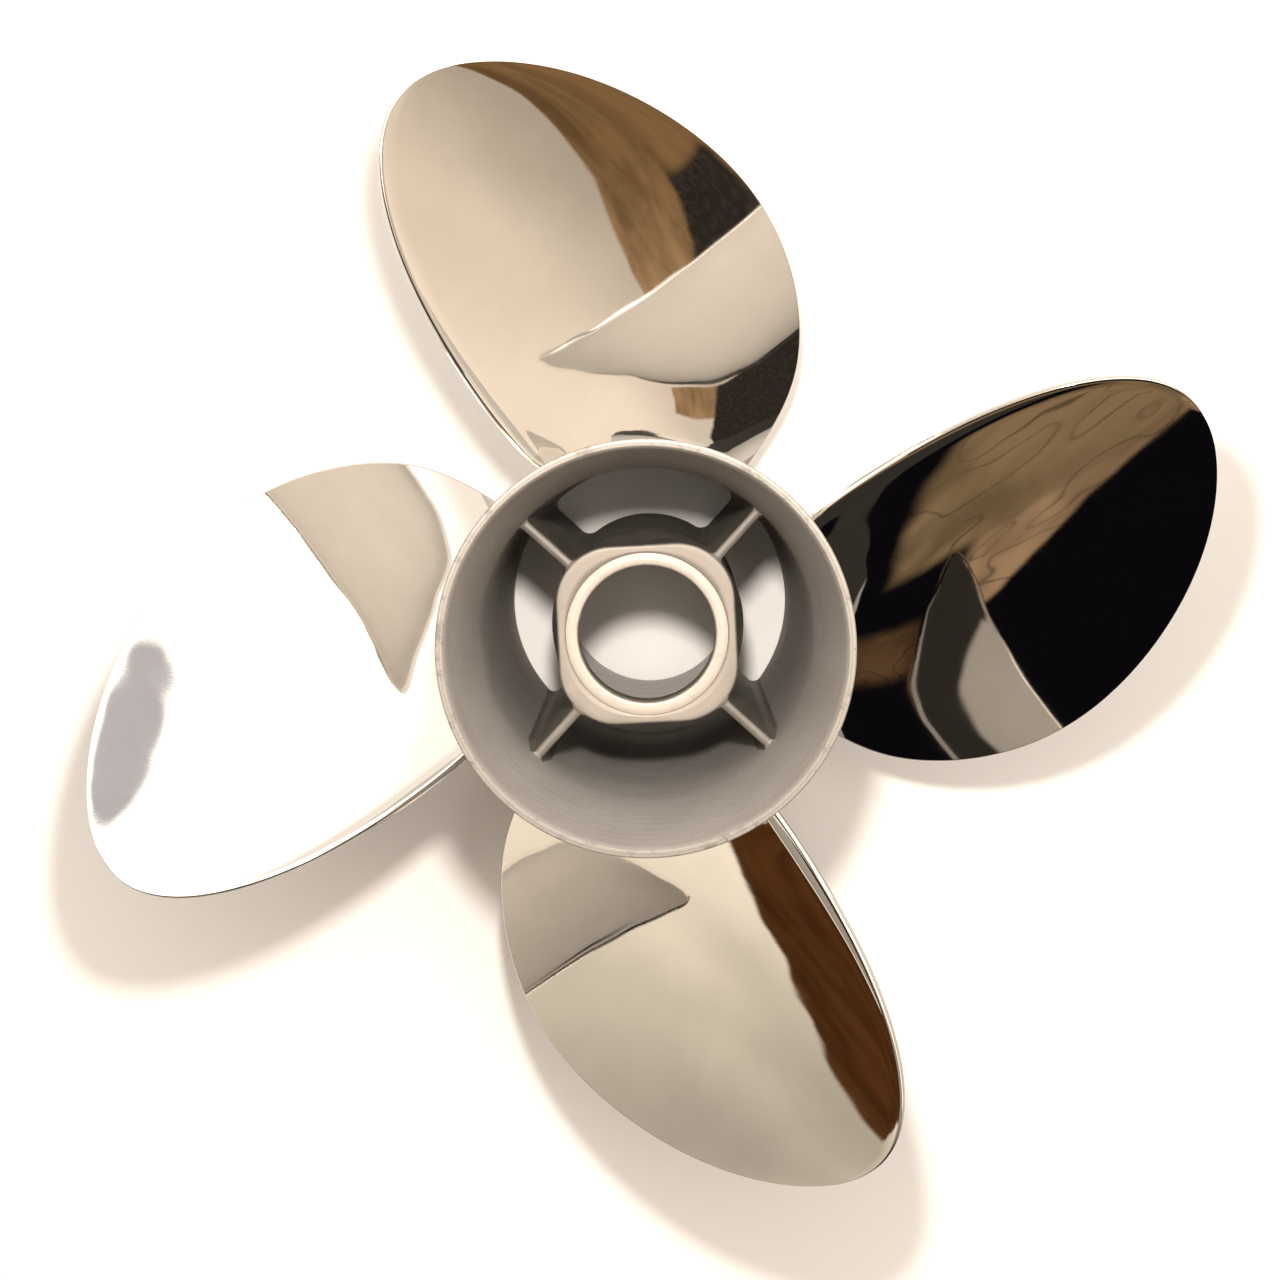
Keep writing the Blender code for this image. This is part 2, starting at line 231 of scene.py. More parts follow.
def turned(name, profile, steps, materials, node, zones):
    """A ring turned about Z from a closed profile. zones gives each profile segment's material."""
    profile = np.array(profile)
    angles = 2 * math.pi * np.arange(steps) / steps
    radius = profile[:, 0][:, None]
    height = np.broadcast_to(profile[:, 1][:, None], (len(profile), steps))
    points = np.stack([radius * np.cos(angles), radius * np.sin(angles), height], axis=-1).reshape(-1, 3)
    faces = bridge_loops(len(profile), steps, True)
    return add_piece(name, points, faces, materials, node, np.repeat(zones, steps))


def make_barrel(outside_finish, inside_finish, rim_finish):
    """Outside from front to rim, the rim, inside from rim to hub front, and the counterbored front lip."""
    bevel = BARREL_BEVEL
    tube = np.linspace(bevel, FLARE_START, OUTSIDE_ROWS)
    flare = np.linspace(FLARE_START, BARREL_LENGTH - bevel, OUTSIDE_ROWS)[1:]
    outside = [(float(barrel_radius(h)), float(h)) for h in np.concatenate([tube, flare])]
    rim = arc((RIM_RADIUS - bevel, BARREL_LENGTH - bevel), bevel, 15, 90, 4)
    rim += arc((RIM_RADIUS - RIM_WALL + bevel, BARREL_LENGTH - bevel), bevel, 90, 165, 4)
    heights = np.linspace(BARREL_LENGTH - bevel, HUB_FRONT + bevel, INSIDE_ROWS)
    inside = [(float(wall_radius(h)), float(h)) for h in heights]
    inside += arc((float(wall_radius(HUB_FRONT)) + bevel, HUB_FRONT + bevel), bevel, 195, 270, 3)
    lip = [(LIP_RADIUS - bevel, HUB_FRONT), (LIP_RADIUS, HUB_FRONT - bevel)]
    lip += arc((LIP_RADIUS + bevel, bevel), bevel, 180, 270, 4)
    lip += arc((BARREL_FRONT_RADIUS - bevel, bevel), bevel, 270, 345, 4)
    profile = outside + rim + inside + lip
    zones = [0] * (len(outside) - 1) + [2] * len(rim) + [1] * (len(inside) + 2) + [0] * (len(lip) - 1)
    finishes = [outside_finish, inside_finish, rim_finish]
    return turned("barrel_shell", profile, BARREL_STEPS, finishes, "barrel", zones)


# ---------------------------------------------------------------- hub, ring and ribs


def rounded_square_radius(angle, flat, corner):
    """Radius at an angle of a rounded square. flat is from its middle to its sides, corner the rounding."""
    angle = np.abs((angle + QUARTER / 2) % QUARTER - QUARTER / 2)
    reach = math.sqrt(2) * (flat - corner)
    turn = angle - QUARTER / 2
    on_corner = reach * np.cos(turn) + np.sqrt(np.maximum(corner**2 - (reach * np.sin(turn)) ** 2, 0.0))
    return np.where(flat * np.tan(angle) <= flat - corner, flat / np.cos(angle), on_corner)


def hub_radius(angle, height):
    """Outside radius of the hub."""
    share = float(smooth_step((HUB_AFT - HUB_SQUARE_DEPTH - height) / HUB_BLEND_DEPTH))
    flat = HUB_FLAT + (HUB_BODY_RADIUS - HUB_FLAT) * share
    corner = HUB_CORNER + (HUB_BODY_RADIUS - HUB_CORNER) * share
    return rounded_square_radius(angle - HUB_TURN, flat, corner)


def make_hub(finish, face_finish, bore_finish):
    """Rings of points: down the outside, across the front, up the stepped bore and across the aft face."""
    angles = 2 * math.pi * np.arange(HUB_STEPS) / HUB_STEPS
    rings = []

    def outside(height, inset=0.0):
        rings.append((hub_radius(angles, height) - inset, height))

    def bore(radius, height):
        rings.append((np.full(HUB_STEPS, radius), height))

    bevel = HUB_BEVEL
    for turn in np.radians([90, 60, 30, 0]):
        outside(HUB_AFT - bevel + bevel * math.sin(turn), bevel - bevel * math.cos(turn))
    for height in np.linspace(HUB_AFT - HUB_FIRST_ROW_DEPTH, HUB_FRONT + bevel, HUB_ROWS):
        outside(float(height))
    for turn in np.radians([30, 60, 90]):
        outside(HUB_FRONT + bevel - bevel * math.sin(turn), bevel - bevel * math.cos(turn))
    cast_rings = len(rings)
    bore(BORE_FRONT_RADIUS + bevel, HUB_FRONT)
    bore(BORE_FRONT_RADIUS + bevel * 0.3, HUB_FRONT + bevel * 0.3)
    bore(BORE_FRONT_RADIUS, HUB_FRONT + bevel)
    shoulder = RING_FRONT - RING_GAP
    for share in np.linspace(0, 1, BORE_ROWS):
        height = BORE_TAPER_START + (shoulder - BORE_TAPER_START) * share
        bore(BORE_FRONT_RADIUS + (BORE_AFT_RADIUS - BORE_FRONT_RADIUS) * share, height)
    seat = RING_RADIUS + RING_GAP
    bore(seat, shoulder)
    bore(seat, HUB_AFT - SEAM_BEVEL)
    bore(seat + SEAM_BEVEL, HUB_AFT)
    for share in FACE_ROW_SHARES:
        rings.append((seat + (hub_radius(angles, HUB_AFT) - bevel - seat) * share, HUB_AFT))
    levels = []
    for radius, height in rings:
        level = np.full(HUB_STEPS, float(height))
        levels.append(np.stack([radius * np.cos(angles), radius * np.sin(angles), level], axis=-1))
    points = np.concatenate(levels)
    faces = bridge_loops(len(rings), HUB_STEPS, True)
    face_rings = len(FACE_ROW_SHARES) + 1
    zones = [0] * cast_rings + [2] * (len(rings) - cast_rings - face_rings) + [1] * face_rings
    finishes = [finish, face_finish, bore_finish]
    indices = np.repeat(zones, HUB_STEPS)
    return add_piece("hub_casting", points, faces, finishes, "inner_hub", indices)


def make_ring(finish):
    """The turned ring, grown outwards until only a fine seam is left between it and the hub."""
    bevel = RING_BEVEL
    profile = arc((RING_BORE_RADIUS + bevel, RING_AFT - bevel), bevel, 180, 90, 4)
    outside = RING_RADIUS + RING_GAP - SEAM_BEVEL
    profile += arc((outside - SEAM_BEVEL, RING_AFT - SEAM_BEVEL), SEAM_BEVEL, 90, 0, 3)
    profile += [(outside, RING_FRONT), (RING_BORE_RADIUS, RING_FRONT)]
    zones = [0] * len(profile)
    return turned("nut_seat", profile, HUB_STEPS, [finish], "nut_seat_ring", zones)


def fillet_height(distance, radius):
    """How far a fillet stands off a corner's other side at a distance from it."""
    inside = np.clip(radius - np.asarray(distance, float), 0.0, radius)
    return radius - np.sqrt(radius**2 - inside**2)


def make_rib(number, angle, finish):
    """A spoke whose fillets blend into hub and wall, and which reaches a little way into both."""
    steps = 1 - np.cos(QUARTER * np.linspace(0, 1, RIB_FILLET_STEPS))
    rows = np.linspace(HUB_AFT - RIB_FIRST_ROW_DEPTH, HUB_FRONT + RIB_FRONT_GAP, RIB_ROWS)
    heights = [HUB_AFT - depth for depth in RIB_BEVEL_ROWS] + [float(row) for row in rows]
    points = []
    for height in heights:
        depth = HUB_AFT - height
        draft = depth / (HUB_AFT - HUB_FRONT)
        half = (RIB_AFT_THICKNESS + (RIB_FRONT_THICKNESS - RIB_AFT_THICKNESS) * draft) / 2
        half -= RIB_BEVEL * max(1 - depth / RIB_BEVEL_DEPTH, 0.0) ** 2
        blend = float(smooth_step(depth / RIB_FILLET_BLEND_DEPTH))
        fillet = RIB_FILLET * (RIB_AFT_FILLET_SHARE + (1 - RIB_AFT_FILLET_SHARE) * blend)
        offsets = fillet * steps
        inner = float(hub_radius(angle, height))
        outer = float(wall_radius(height))
        growth = fillet_height(offsets, fillet)
        side = [(inner - SUNK, half + growth[0])]
        side += [(inner + o, half + g) for o, g in zip(offsets, growth)]
        side += [(outer - o, half + g) for o, g in zip(offsets[::-1], growth[::-1])]
        side.append((outer + SUNK, half + growth[0]))
        loop = side + [(along, -across) for along, across in reversed(side)]
        for along, across in loop:
            # Follows the curve of the wall and of the hub at the rib's feet.
            curve = outer if along > (inner + outer) / 2 else inner
            along -= across**2 / (2 * curve)
            x = along * math.cos(angle) - across * math.sin(angle)
            y = along * math.sin(angle) + across * math.cos(angle)
            points.append((x, y, height))
    size = 2 * (2 * RIB_FILLET_STEPS + 2)
    faces = bridge_loops(len(heights), size, False)
    for first in (0, (len(heights) - 1) * size):
        for i in range(size // 2 - 1):
            faces.append((first + i, first + i + 1, first + size - 2 - i, first + size - 1 - i))
    return add_piece(f"rib_{number}_casting", points, faces, [finish], f"rib_{number}")


# ---------------------------------------------------------------- blades


def spline_points(control, count):
    """Points on the clamped cubic B-spline of those control points."""
    control = np.array(control, float)
    degree = 3
    inner = np.linspace(0, 1, len(control) - degree + 1)
    knots = np.concatenate([[0.0] * degree, inner, [1.0] * degree])
    result = []
    for t in np.linspace(0, 1, count):
        span = min(int(np.searchsorted(knots, t, side="right")) - 1, len(control) - 1)
        work = [control[span - degree + i].copy() for i in range(degree + 1)]
        for level in range(1, degree + 1):
            for i in range(degree, level - 1, -1):
                low = knots[span - degree + i]
                share = (t - low) / (knots[i + 1 + span - level] - low)
                work[i] = (1 - share) * work[i - 1] + share * work[i]
        result.append(work[degree])
    return np.array(result)


def blade_edges():
    """Two functions of the radius: the angles of the leading and of the trailing edge."""
    outline = spline_points(OUTLINE, OUTLINE_SAMPLES)
    radii = np.hypot(outline[:, 0], outline[:, 1])
    radii *= TIP_RADIUS / radii.max()
    angles = np.arctan2(outline[:, 1], outline[:, 0])
    tip = int(radii.argmax())
    return (
        lambda radius: float(np.interp(radius, radii[tip:][::-1], angles[tip:][::-1])),
        lambda radius: float(np.interp(radius, radii[: tip + 1], angles[: tip + 1])),
    )


def span_share(radius):
    """0 at the blade's root, 1 at its tip."""
    return (radius - ROOT_RADIUS) / (TIP_RADIUS - ROOT_RADIUS)


def local_pitch(radius):
    """The pitch, which falls towards the root."""
    return PITCH - ROOT_PITCH_LOSS * (1 - span_share(radius)) ** 4


def helix_slope(radius):
    return math.atan2(local_pitch(radius), 2 * math.pi * radius)


def helix_height(radius, angle):
    """Height of the raked helical surface that the face is measured from."""
    return FACE_HEIGHT + local_pitch(radius) * (angle - QUARTER) / (2 * math.pi) + RAKE * span_share(radius)


def tip_fade(radius):
    """1 over most of the blade, 0 at the tip."""
    return 1 - math.exp(-(TIP_RADIUS - radius) / TIP_FADE)


def hollow(part, radius):
    """How far the face lies below its helix, at a part of the chord from the leading edge."""
    share = span_share(radius)
    fade = tip_fade(radius)
    twist = ROOT_TWIST * (1 - share)
    fill = ROOT_FILL * (1 - share) ** 4 * part**2
    depth = part * (1 - part) * (4 * HOLLOW - 10 * twist * (1 - 2 * part) - fill)
    return depth * fade + HOLLOW * (1 - fade) / 2


def section_loop(chord, radius):
    """A blade section as a closed loop of (along the chord, off the helix) points."""
    share = min(max(span_share(radius), 0.0), 1.0)
    fullest = ROOT_THICKNESS + (TIP_THICKNESS - ROOT_THICKNESS) * share**THICKNESS_FALL_POWER
    closing = max(radius - (TIP_RADIUS - TIP_ROUNDING), 0.0) / TIP_ROUNDING
    closing = math.sqrt(max(1 - closing**2, 0.0))

    def thickness(part):
        edge = LEADING_THICKNESS + (TRAILING_THICKNESS - LEADING_THICKNESS) * part
        return closing * (edge + (fullest - edge) * (4 * part * (1 - part)) ** SECTION_POWER)

    parts = (1 - np.cos(math.pi * np.arange(CHORD_STEPS + 1) / CHORD_STEPS)) / 2
    lead = float(thickness(0.0)) / 2
    trail = float(thickness(1.0)) / 2
    cupped = np.maximum(1 - (1 - parts) * chord / min(CUP_WIDTH, chord / 2), 0.0)
    cup = CUP_HEIGHT * tip_fade(radius) * cupped**2
    offset = cup - hollow(parts, radius) * math.cos(helix_slope(radius))
    along = lead + (chord - lead - trail) * parts
    face = np.stack([along, offset], axis=1)
    back = np.stack([along, offset - thickness(parts)], axis=1)
    turns = math.pi * np.arange(1, EDGE_STEPS + 1) / (EDGE_STEPS + 1)
    across = np.sign(np.cos(turns)) * np.abs(np.cos(turns)) ** TRAILING_SQUARENESS
    square = np.stack([np.sin(turns) ** TRAILING_SQUARENESS, across], axis=1)
    trailing = face[-1] + trail * (square - (0, 1))
    leading = face[0] - lead * np.stack([np.sin(turns), 1 + np.cos(turns)], axis=1)
    return np.concatenate([face, trailing, back[::-1], leading])


def grown(loop, amount):
    """The loop moved outwards along its own normals."""
    if amount == 0.0:
        return loop
    along = np.roll(loop, -1, axis=0) - np.roll(loop, 1, axis=0)
    length = np.linalg.norm(along, axis=1)
    return loop + amount * np.stack([-along[:, 1], along[:, 0]], axis=1) / length[:, None]


def placed(loop, radius, leading):
    """A section loop wrapped on its cylinder: rows of angle, height and radius."""
    slope = helix_slope(radius)
    angle = leading + (loop[:, 0] * math.cos(slope) - loop[:, 1] * math.sin(slope)) / radius
    height = helix_height(radius, leading) + loop[:, 0] * math.sin(slope) + loop[:, 1] * math.cos(slope)
    on_barrel = 1 - float(smooth_step((radius - ROOT_RADIUS) / ROOT_BLEND))
    reach = radius + (barrel_radius(height) - ROOT_RADIUS) * on_barrel
    return np.stack([angle, height, reach], axis=1)


def blade_radii():
    """(radius, fillet growth) of each section: through the root fillet, along the blade, round the tip."""
    rows = [(ROOT_RADIUS - SUNK, BLADE_FILLET)]
    for turn in np.linspace(0, QUARTER, FILLET_STEPS + 1)[:-1]:
        rows.append((ROOT_RADIUS + BLADE_FILLET * (1 - math.cos(turn)), BLADE_FILLET * (1 - math.sin(turn))))
    start = ROOT_RADIUS + BLADE_FILLET
    end = TIP_RADIUS - TIP_ROUNDING
    for i in range(BLADE_STATIONS + 1):
        rows.append((start + (end - start) * math.sin(QUARTER * i / BLADE_STATIONS), 0.0))
    for i in range(1, TIP_STEPS):
        rows.append((end + TIP_ROUNDING * math.sin(QUARTER * i / TIP_STEPS), 0.0))
    return rows


def make_blade(number, turn, finish):
    leading, trailing = blade_edges()
    rows = []
    for radius, growth in blade_radii():
        chord = (trailing(radius) - leading(radius)) * radius / math.cos(helix_slope(radius))
        rows.append(placed(grown(section_loop(chord, radius), growth), radius, leading(radius)))
    size = len(rows[0])
    faces = bridge_loops(len(rows), size, False)
    points = np.concatenate(rows)
    extra = [(rows[-1][:, 0].mean(), rows[-1][:, 1].mean(), TIP_RADIUS)]
    last = (len(rows) - 1) * size
    faces += [(last + i, last + (i + 1) % size, len(points)) for i in range(size)]

    # The root's end, inside the barrel wall, in rows that keep to the wall's curve.
    start = size - EDGE_STEPS // 2 - 1
    near = [(start + i) % size for i in range(size // 2 + 1)]
    far = [(start - i) % size for i in range(size // 2 + 1)]
    columns = [near]
    for row in range(1, ROOT_CAP_ROWS):
        share = row / ROOT_CAP_ROWS
        column = [near[0]]
        for a, b in zip(near[1:-1], far[1:-1]):
            column.append(len(points) + len(extra))
            extra.append(tuple(points[a] + (points[b] - points[a]) * share))
        column.append(near[-1])
        columns.append(column)
    columns.append(far)
    for first, second in zip(columns, columns[1:]):
        for i in range(len(near) - 1):
            faces.append(tuple(dict.fromkeys((first[i], first[i + 1], second[i + 1], second[i]))))

    wrapped = np.concatenate([points, np.array(extra)])
    angle, height, reach = wrapped[:, 0] + turn, wrapped[:, 1], wrapped[:, 2]
    points = np.stack([reach * np.cos(angle), reach * np.sin(angle), height], axis=1)
    return add_piece(f"blade_{number}_polished", points, faces, [finish], f"blade_{number}")


# ---------------------------------------------------------------- finishes


# Pointiness where an edge starts to look worn, and where it is fully worn.
WORN_FROM = 0.52
WORN_TO = 0.60


class Graph:
    """Short names for the shader nodes used here. Values may be numbers, colours or sockets."""

    def __init__(self, tree):
        self.tree = tree

    def add(self, kind, inputs=None, **settings):
        node = self.tree.nodes.new(kind)
        for name, value in settings.items():
            setattr(node, name, value)
        for name, value in (inputs or {}).items():
            self.feed(node.inputs[name], value)
        return node

    def feed(self, socket, value):
        if isinstance(value, bpy.types.NodeSocket):
            self.tree.links.new(value, socket)
        else:
            socket.default_value = value

    def math(self, operation, *values):
        return self.add("ShaderNodeMath", dict(enumerate(values)), operation=operation).outputs[0]

    def stretched(self, vector, scale):
        return self.add("ShaderNodeVectorMath", {0: vector, 1: scale}, operation="MULTIPLY").outputs[0]

    def noise(self, vector, scale, detail=2.0, roughness=0.5):
        inputs = {"Vector": vector, "Scale": scale, "Detail": detail, "Roughness": roughness}
        return self.add("ShaderNodeTexNoise", inputs).outputs["Fac"]

    def ramp(self, value, start, end, low=0.0, high=1.0):
        """low where the value is at start or before, high at end or after, with a smooth step between."""
        inputs = {"Value": value, "From Min": start, "From Max": end, "To Min": low, "To Max": high}
        return self.add("ShaderNodeMapRange", inputs, interpolation_type="SMOOTHSTEP").outputs["Result"]

    def mix(self, share, first, second):
        inputs = {0: share, 6: first, 7: second}
        return self.add("ShaderNodeMix", inputs, data_type="RGBA").outputs[2]

    def worn_edge(self, most):
        """most along sharp edges, where handling has rubbed them, and 0 elsewhere."""
        pointiness = self.add("ShaderNodeNewGeometry").outputs["Pointiness"]
        return self.ramp(pointiness, WORN_FROM, WORN_TO, 0.0, most)

    def bump(self, height, distance, strength=1.0, normal=None):
        inputs = {"Height": height, "Distance": distance, "Strength": strength}
        if normal is not None:
            inputs["Normal"] = normal
        return self.add("ShaderNodeBump", inputs).outputs["Normal"]


def new_material(name):
    """A material, its graph, its shader and its object coordinates in metres."""
    material = bpy.data.materials.new(name)
    material.use_nodes = True
    graph = Graph(material.node_tree)
    place = graph.add("ShaderNodeTexCoord").outputs["Object"]
    return material, graph, material.node_tree.nodes["Principled BSDF"], place


def color(red, green, blue):
    return (red, green, blue, 1.0)


def polished_steel():
    """Hand polished bare stainless: a mirror with slow waves, a faint haze and hairline polishing marks."""
    material, graph, shader, place = new_material("polished_stainless")
    shader.inputs["Metallic"].default_value = 1.0
    haze = graph.noise(place, scale=60.0, detail=4.0, roughness=0.6)
    dull, clear, rubbed = color(0.73, 0.70, 0.655), color(0.76, 0.73, 0.685), color(0.80, 0.77, 0.72)
    tint = graph.mix(graph.ramp(haze, 0.3, 0.7), dull, clear)
    tint = graph.mix(graph.worn_edge(0.6), tint, rubbed)
    graph.feed(shader.inputs["Base Color"], tint)
    hairs = graph.noise(graph.stretched(place, (900.0, 2500.0, 300.0)), scale=1.0, detail=2.0)
    hazy = graph.ramp(haze, 0.35, 0.75, low=0.018, high=0.045)
    marked = graph.ramp(hairs, 0.62, 0.75, low=0.0, high=0.02)
    rough = graph.math("ADD", graph.math("ADD", hazy, marked), graph.worn_edge(0.10))
    graph.feed(shader.inputs["Roughness"], rough)
    waves = graph.noise(place, scale=38.0, detail=1.0)
    normal = graph.bump(waves, distance=0.00012)
    normal = graph.bump(hairs, distance=0.0000015, strength=0.6, normal=normal)
    graph.feed(shader.inputs["Normal"], normal)
    return material


def blasted_steel():
    """Blasted inside of the barrel: fine grit, faint rings left by turning, and slow darker clouds."""
    material, graph, shader, place = new_material("blasted_stainless")
    shader.inputs["Metallic"].default_value = 0.55
    shader.inputs["Specular Tint"].default_value = color(0.25, 0.22, 0.19)
    shader.inputs["Specular IOR Level"].default_value = 0.2
    grit = graph.noise(place, scale=2600.0, detail=3.0, roughness=0.7)
    clouds = graph.noise(place, scale=45.0, detail=4.0, roughness=0.6)
    rings = graph.noise(graph.stretched(place, (6.0, 6.0, 520.0)), scale=1.0, detail=3.0, roughness=0.6)
    dark, pale = color(0.415, 0.387, 0.36), color(0.49, 0.462, 0.432)
    bright_ring, pit = color(0.64, 0.61, 0.58), color(0.30, 0.27, 0.24)
    base = graph.mix(graph.ramp(clouds, 0.3, 0.7), dark, pale)
    base = graph.mix(graph.ramp(rings, 0.35, 0.75, high=0.45), base, bright_ring)
    base = graph.mix(graph.ramp(grit, 0.42, 0.62, high=0.55), base, pit)
    graph.feed(shader.inputs["Base Color"], base)
    graph.feed(shader.inputs["Roughness"], graph.ramp(rings, 0.3, 0.7, low=0.58, high=0.46))
    normal = graph.bump(rings, distance=0.00006, strength=0.6)
    normal = graph.bump(grit, distance=0.00009, strength=0.6, normal=normal)
    graph.feed(shader.inputs["Normal"], normal)
    return material


def machined_steel(name, bright, dark, ring_scale, rough):
    """Turned steel: rings about the axis, a fine grain, small dark nicks and rubbed edges."""
    material, graph, shader, place = new_material(name)
    shader.inputs["Metallic"].default_value = 0.4
    flat = graph.stretched(place, (1.0, 1.0, 0.0))
    radius = graph.add("ShaderNodeVectorMath", {0: flat}, operation="LENGTH").outputs["Value"]
    height = graph.add("ShaderNodeSeparateXYZ", {0: place}).outputs["Z"]
    along = graph.add("ShaderNodeCombineXYZ", {"X": radius, "Y": height}).outputs[0]
    rings = graph.noise(along, scale=ring_scale, detail=3.0, roughness=0.7)
    grain = graph.noise(place, scale=1400.0, detail=3.0, roughness=0.6)
    nicks = graph.noise(place, scale=260.0, detail=4.0, roughness=0.75)
    base = graph.mix(graph.ramp(rings, 0.35, 0.7), bright, dark)
    base = graph.mix(graph.ramp(grain, 0.4, 0.75, high=0.35), base, dark)
    base = graph.mix(graph.ramp(nicks, 0.54, 0.62, high=0.9), base, dark)
    base = graph.mix(graph.worn_edge(0.6), base, bright)
    graph.feed(shader.inputs["Base Color"], base)
    graph.feed(shader.inputs["Roughness"], graph.ramp(rings, 0.3, 0.7, low=rough, high=rough + 0.12))
    normal = graph.bump(rings, distance=0.00002, strength=0.5)
    normal = graph.bump(nicks, distance=0.00008, strength=0.35, normal=normal)
    graph.feed(shader.inputs["Normal"], normal)
    return material


def cast_steel(name, pale, dark, rough):
    """Cast and blasted steel: a fine even grain over slow stains, with rubbed edges."""
    material, graph, shader, place = new_material(name)
    shader.inputs["Metallic"].default_value = 0.5
    grain = graph.noise(place, scale=1900.0, detail=4.0, roughness=0.7)
    stains = graph.noise(place, scale=70.0, detail=3.0, roughness=0.6)
    base = graph.mix(graph.ramp(stains, 0.3, 0.7), dark, pale)
    base = graph.mix(graph.ramp(grain, 0.35, 0.7, high=0.4), base, dark)
    base = graph.mix(graph.worn_edge(0.5), base, pale)
    graph.feed(shader.inputs["Base Color"], base)
    graph.feed(shader.inputs["Roughness"], graph.ramp(stains, 0.3, 0.7, low=rough, high=rough + 0.1))
    normal = graph.bump(stains, distance=0.00015, strength=0.5)
    normal = graph.bump(grain, distance=0.00005, strength=0.55, normal=normal)
    graph.feed(shader.inputs["Normal"], normal)
    return material


# ---------------------------------------------------------------- stage


NOTHING = (0.0, 0.0, 0.0)

# Floor, and how dark its mirror image is painted, as shade where the light falls off away from the lamp's
# side: at FLOOR_NEAR and before, at FLOOR_FAR and after, past its end.
# The end is at y = TABLE_END, and fades in between the two x of TABLE_CORNER.
FLOOR_HALF = 30.0
FLOOR_NEAR = -0.30
FLOOR_FAR = 0.15
NEAR_PAINTED_SHADE = 0.55
FAR_PAINTED_SHADE = 0.22
TABLE_END = -0.30
TABLE_END_SOFT = 0.01
PAST_END_DIM = 0.95
TABLE_CORNER = (-0.35, -0.20)

# Surroundings. Azimuths run on from SEAM_AZIMUTH - 180 degrees, so that no card crosses their seam.
SEAM_AZIMUTH = 200.0
LEAN_ELEVATION = 20.0
BACKDROP = (0.93, 0.91, 0.885)

LAMP_PLACE = (0.0, 0.130, 0.565)
LAMP_TILT = math.radians(-13)
LAMP_SIZE = 0.036
LAMP_ENERGY = 3.0
LAMP_COLOR = (1.0, 0.93, 0.86)

CAMERA_PLACE = (0.0058, 0.0742, 0.8135)
CAMERA_TILT = math.radians(-6.17)
CAMERA_YAW = math.radians(-0.63)
CAMERA_LENS = 70.3
CAMERA_SENSOR = 36


def make_floor():
    """A pale table. In the steel's reflections it carries painted shade: it is darker, most so towards -Y,
    where it ends.
    """
    mesh = bpy.data.meshes.new("floor")
    corners = [(FLOOR_HALF * x, FLOOR_HALF * y, 0) for x, y in ((-1, -1), (1, -1), (1, 1), (-1, 1))]
    mesh.from_pydata(corners, [], [(0, 1, 2, 3)])
    floor = bpy.data.objects.new("floor", mesh)
    bpy.context.scene.collection.objects.link(floor)
    material, graph, shader, place = new_material("pale_table")
    weave = graph.noise(place, scale=900.0, detail=3.0)
    base = graph.mix(weave, color(0.90, 0.875, 0.85), color(0.93, 0.905, 0.88))
    parts = graph.add("ShaderNodeSeparateXYZ", {0: place}).outputs
    across, along = parts["X"], parts["Y"]
    # Painted shade, seen only in reflections: the floor's mirror image is darkened throughout, more towards
    # -Y, where less of the light falls.
    mirrored = graph.add("ShaderNodeLightPath").outputs["Is Glossy Ray"]
    painted_shade = graph.math("MULTIPLY", mirrored, graph.ramp(along, FLOOR_NEAR, FLOOR_FAR, NEAR_PAINTED_SHADE, FAR_PAINTED_SHADE))
    base = graph.mix(painted_shade, base, color(*NOTHING))
    end = graph.ramp(along, TABLE_END - TABLE_END_SOFT, TABLE_END + TABLE_END_SOFT, PAST_END_DIM, 0.0)
    past = graph.math("MULTIPLY", mirrored, end)
    past = graph.math("MULTIPLY", past, graph.ramp(across, *TABLE_CORNER))
    base = graph.mix(past, base, color(*NOTHING))
    graph.feed(shader.inputs["Base Color"], base)
    shader.inputs["Roughness"].default_value = 0.75
    shader.inputs["Specular IOR Level"].default_value = 0.2
    mesh.materials.append(material)


class Card(NamedTuple):
    """A soft-edged card in the surroundings, placed in degrees as seen from the propeller.

    start and end are azimuths, from 20 to 380. lean says how far round each of those two sides stands for
    each degree below LEAN_ELEVATION. low and high are the card's colours at the two elevations of blend.
    strength is how much it hides of what is behind it.
    """

    pattern: str
    start: float
    end: float
    top: float
    low: tuple
    high: tuple
    soft: float = 1.0
    bottom: float = -90.0
    lean: tuple = (0.0, 0.0)
    blend: tuple = (6.0, 20.0)
    strength: float = 1.0


BLACK = (0.004, 0.0035, 0.005)
WINDOW_LOW = (1.33, 1.19, 1.06)
WINDOW_HIGH = (2.3, 2.2, 2.05)
SKYLIGHT = (3.7, 3.35, 3.0)
PINK_LOW = (1.2, 0.92, 0.74)
PINK_HIGH = (0.85, 0.61, 0.46)
GREY = (0.70, 0.66, 0.68)
BROWN = (0.115, 0.042, 0.012)
OAK_LOW = (0.52, 0.31, 0.15)
OAK_HIGH = (0.29, 0.16, 0.065)
BUFF = (0.45, 0.28, 0.155)
DARK_BUFF = (0.30, 0.195, 0.10)
LOW_BUFF = (0.14, 0.075, 0.035)
DEEP_BUFF = (0.10, 0.05, 0.02)
STONE = (0.06, 0.047, 0.037)

# The wall and ceiling behind the cards: (elevation, colour).
WALL = (
    (3, (1.26, 1.09, 0.88)),
    (14, (1.15, 1.00, 0.81)),
    (25, (1.06, 0.93, 0.74)),
    (34, (0.80, 0.70, 0.56)),
    (44, (0.53, 0.46, 0.38)),
    (56, (0.40, 0.36, 0.31)),
    (76, (0.30, 0.27, 0.24)),
    (81, (0.95, 0.84, 0.74)),
)
